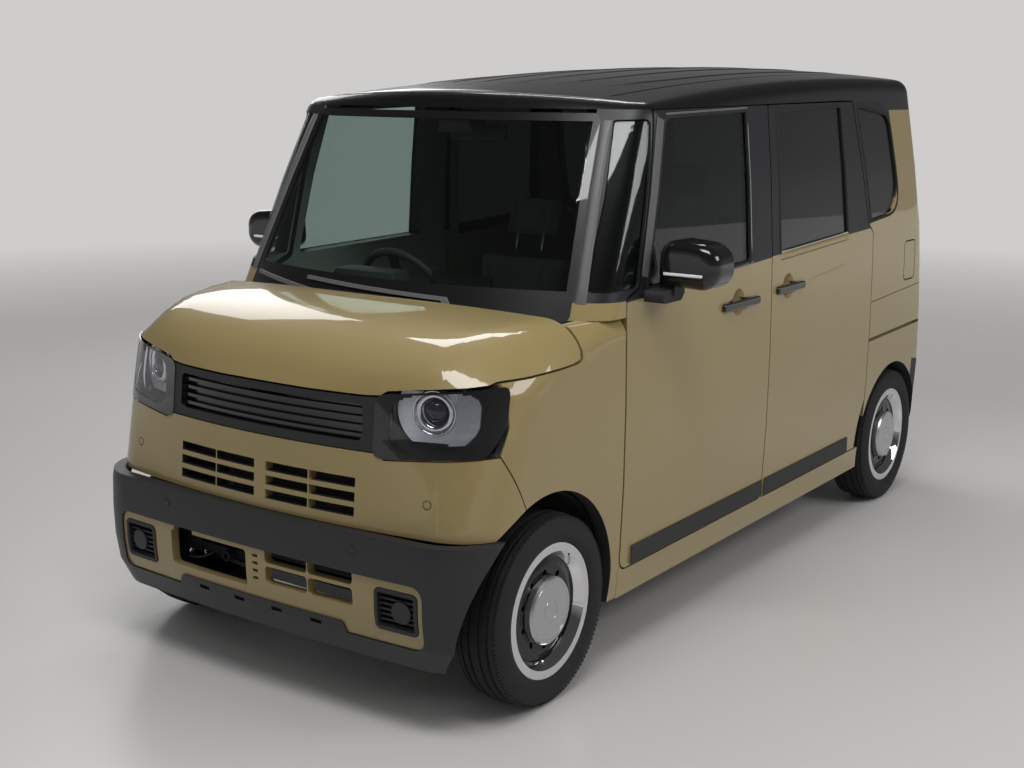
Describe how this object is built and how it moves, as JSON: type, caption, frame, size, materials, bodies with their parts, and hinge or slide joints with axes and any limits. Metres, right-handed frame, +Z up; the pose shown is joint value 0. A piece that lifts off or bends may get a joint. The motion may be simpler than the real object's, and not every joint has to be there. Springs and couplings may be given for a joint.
{
  "type": "kei car",
  "caption": "Tall box-bodied kei car with hinged front doors, sliding rear doors, hood, tailgate, steering and rolling wheels.",
  "frame": {"origin": "on the ground, midway between the bumpers and between the wheels", "axes": "+X to the car's left, -Y towards the nose, +Z up"},
  "size_m": [1.85, 3.3805, 1.7798],
  "materials": {
    "body_paint": "satin beige paint",
    "roof_paint": "gloss black paint",
    "black_trim": "grained black plastic",
    "gloss_black": "piano black",
    "silver_trim": "satin silver",
    "clear_glass": "green tinted glass",
    "dark_glass": "privacy glass",
    "lamp_lens": "clear polycarbonate over chrome",
    "tail_lens": "red lens",
    "steel": "painted steel",
    "underbody": "primer grey underseal",
    "tyre": "black rubber",
    "wheel_silver": "satin silver",
    "interior_plastic": "soft grain",
    "seat_fabric": "woven seat cloth",
    "tank_plastic": "moulded polyethylene"
  },
  "bodies": {
    "root": {"front_bumper": "body_paint", "lower_bumper": "body_paint", "bumper_guard": "black_trim", "skid_plate": "silver_trim", "grille_bar": "gloss_black", "headlamps": "lamp_lens", "fog_lamps": "black_trim", "windshield": "clear_glass", "cowl_panel": "black_trim", "wipers": "black_trim", "roof_panel": "roof_paint", "side_frame_left": "body_paint", "side_frame_right": "body_paint", "side_glass": "dark_glass", "rear_bumper": "black_trim", "rear_panel": "underbody", "tail_lamps": "tail_lens", "floor_pan": "underbody", "wheel_houses": "underbody", "strut_towers": "underbody", "front_frame": "underbody", "engine": "steel", "front_subframe": "steel", "rear_axle": "steel", "fuel_tank": "tank_plastic", "exhaust": "steel", "dashboard": "interior_plastic", "front_seats": "seat_fabric", "rear_seat": "seat_fabric", "sliding_door_left": "body_paint", "front_fender_left": "body_paint", "sliding_door_right": "body_paint", "front_fender_right": "body_paint"},
    "hood_lid": {"hood": "body_paint"},
    "tailgate_lid": {"tailgate": "body_paint", "tailgate_glass": "dark_glass"},
    "fuel_flap": {"fuel_lid": "body_paint"},
    "steering_column": {"steering_wheel": "black_trim"},
    "door_left": {"front_door_left": "body_paint", "front_door_glass_left": "clear_glass", "mirror_left": "gloss_black"},
    "hub_left": {"knuckle_left": "steel"},
    "front_left_wheel": {"tyre_front_left": "tyre", "wheel_front_left": "wheel_silver"},
    "rear_left_wheel": {"tyre_rear_left": "tyre", "wheel_rear_left": "wheel_silver"},
    "door_right": {"front_door_right": "body_paint", "front_door_glass_right": "clear_glass", "mirror_right": "gloss_black"},
    "hub_right": {"knuckle_right": "steel"},
    "front_right_wheel": {"tyre_front_right": "tyre", "wheel_front_right": "wheel_silver"},
    "rear_right_wheel": {"tyre_rear_right": "tyre", "wheel_rear_right": "wheel_silver"}
  },
  "joints": [
    {"name": "hood_hinge", "type": "hinge", "parent": "root", "child": "hood_lid", "pos_m": [0, -1.144, 1.1], "axis": [-1, 0, 0], "range_deg": [0, 50]},
    {"name": "tailgate_hinge", "type": "hinge", "parent": "root", "child": "tailgate_lid", "pos_m": [0, 1.445, 1.772], "axis": [1, 0, 0], "range_deg": [0, 80]},
    {"name": "door_left_hinge", "type": "hinge", "parent": "root", "child": "door_left", "pos_m": [0.737, -0.9085, 0.7], "axis": [0, 0, -1], "range_deg": [0, 65]},
    {"name": "door_right_hinge", "type": "hinge", "parent": "root", "child": "door_right", "pos_m": [-0.737, -0.9085, 0.7], "axis": [0, 0, 1], "range_deg": [0, 65]},
    {"name": "fuel_flap_hinge", "type": "hinge", "parent": "root", "child": "fuel_flap", "pos_m": [0.7275, 1.32, 1.005], "axis": [0, 0, -1], "range_deg": [0, 90]},
    {"name": "steer_left", "type": "hinge", "parent": "root", "child": "hub_left", "pos_m": [0.6, -1.261, 0.176], "axis": [-0.1618, 0, 0.9868], "range_deg": [-35, 35]},
    {"name": "steer_right", "type": "hinge", "parent": "root", "child": "hub_right", "pos_m": [-0.6, -1.261, 0.176], "axis": [0.1618, 0, 0.9868], "range_deg": [-35, 35]},
    {"name": "column_spin", "type": "hinge", "parent": "root", "child": "steering_column", "pos_m": [-0.33, -0.621, 0.99], "axis": [0, 0.9063, 0.4226], "range_deg": [-580, 580]},
    {"name": "roll_front_left", "type": "hinge", "parent": "hub_left", "child": "front_left_wheel", "pos_m": [0.6525, -1.261, 0.276], "axis": [1, 0, 0], "continuous": true},
    {"name": "roll_rear_left", "type": "hinge", "parent": "root", "child": "rear_left_wheel", "pos_m": [0.6525, 1.259, 0.276], "axis": [1, 0, 0], "continuous": true},
    {"name": "roll_front_right", "type": "hinge", "parent": "hub_right", "child": "front_right_wheel", "pos_m": [-0.6525, -1.261, 0.276], "axis": [1, 0, 0], "continuous": true},
    {"name": "roll_rear_right", "type": "hinge", "parent": "root", "child": "rear_right_wheel", "pos_m": [-0.6525, 1.259, 0.276], "axis": [1, 0, 0], "continuous": true}
  ],
  "couplings": [
    {"joint": "steer_right", "follows": "steer_left", "ratio": 1},
    {"joint": "column_spin", "follows": "steer_left", "ratio": 16}
  ]
}
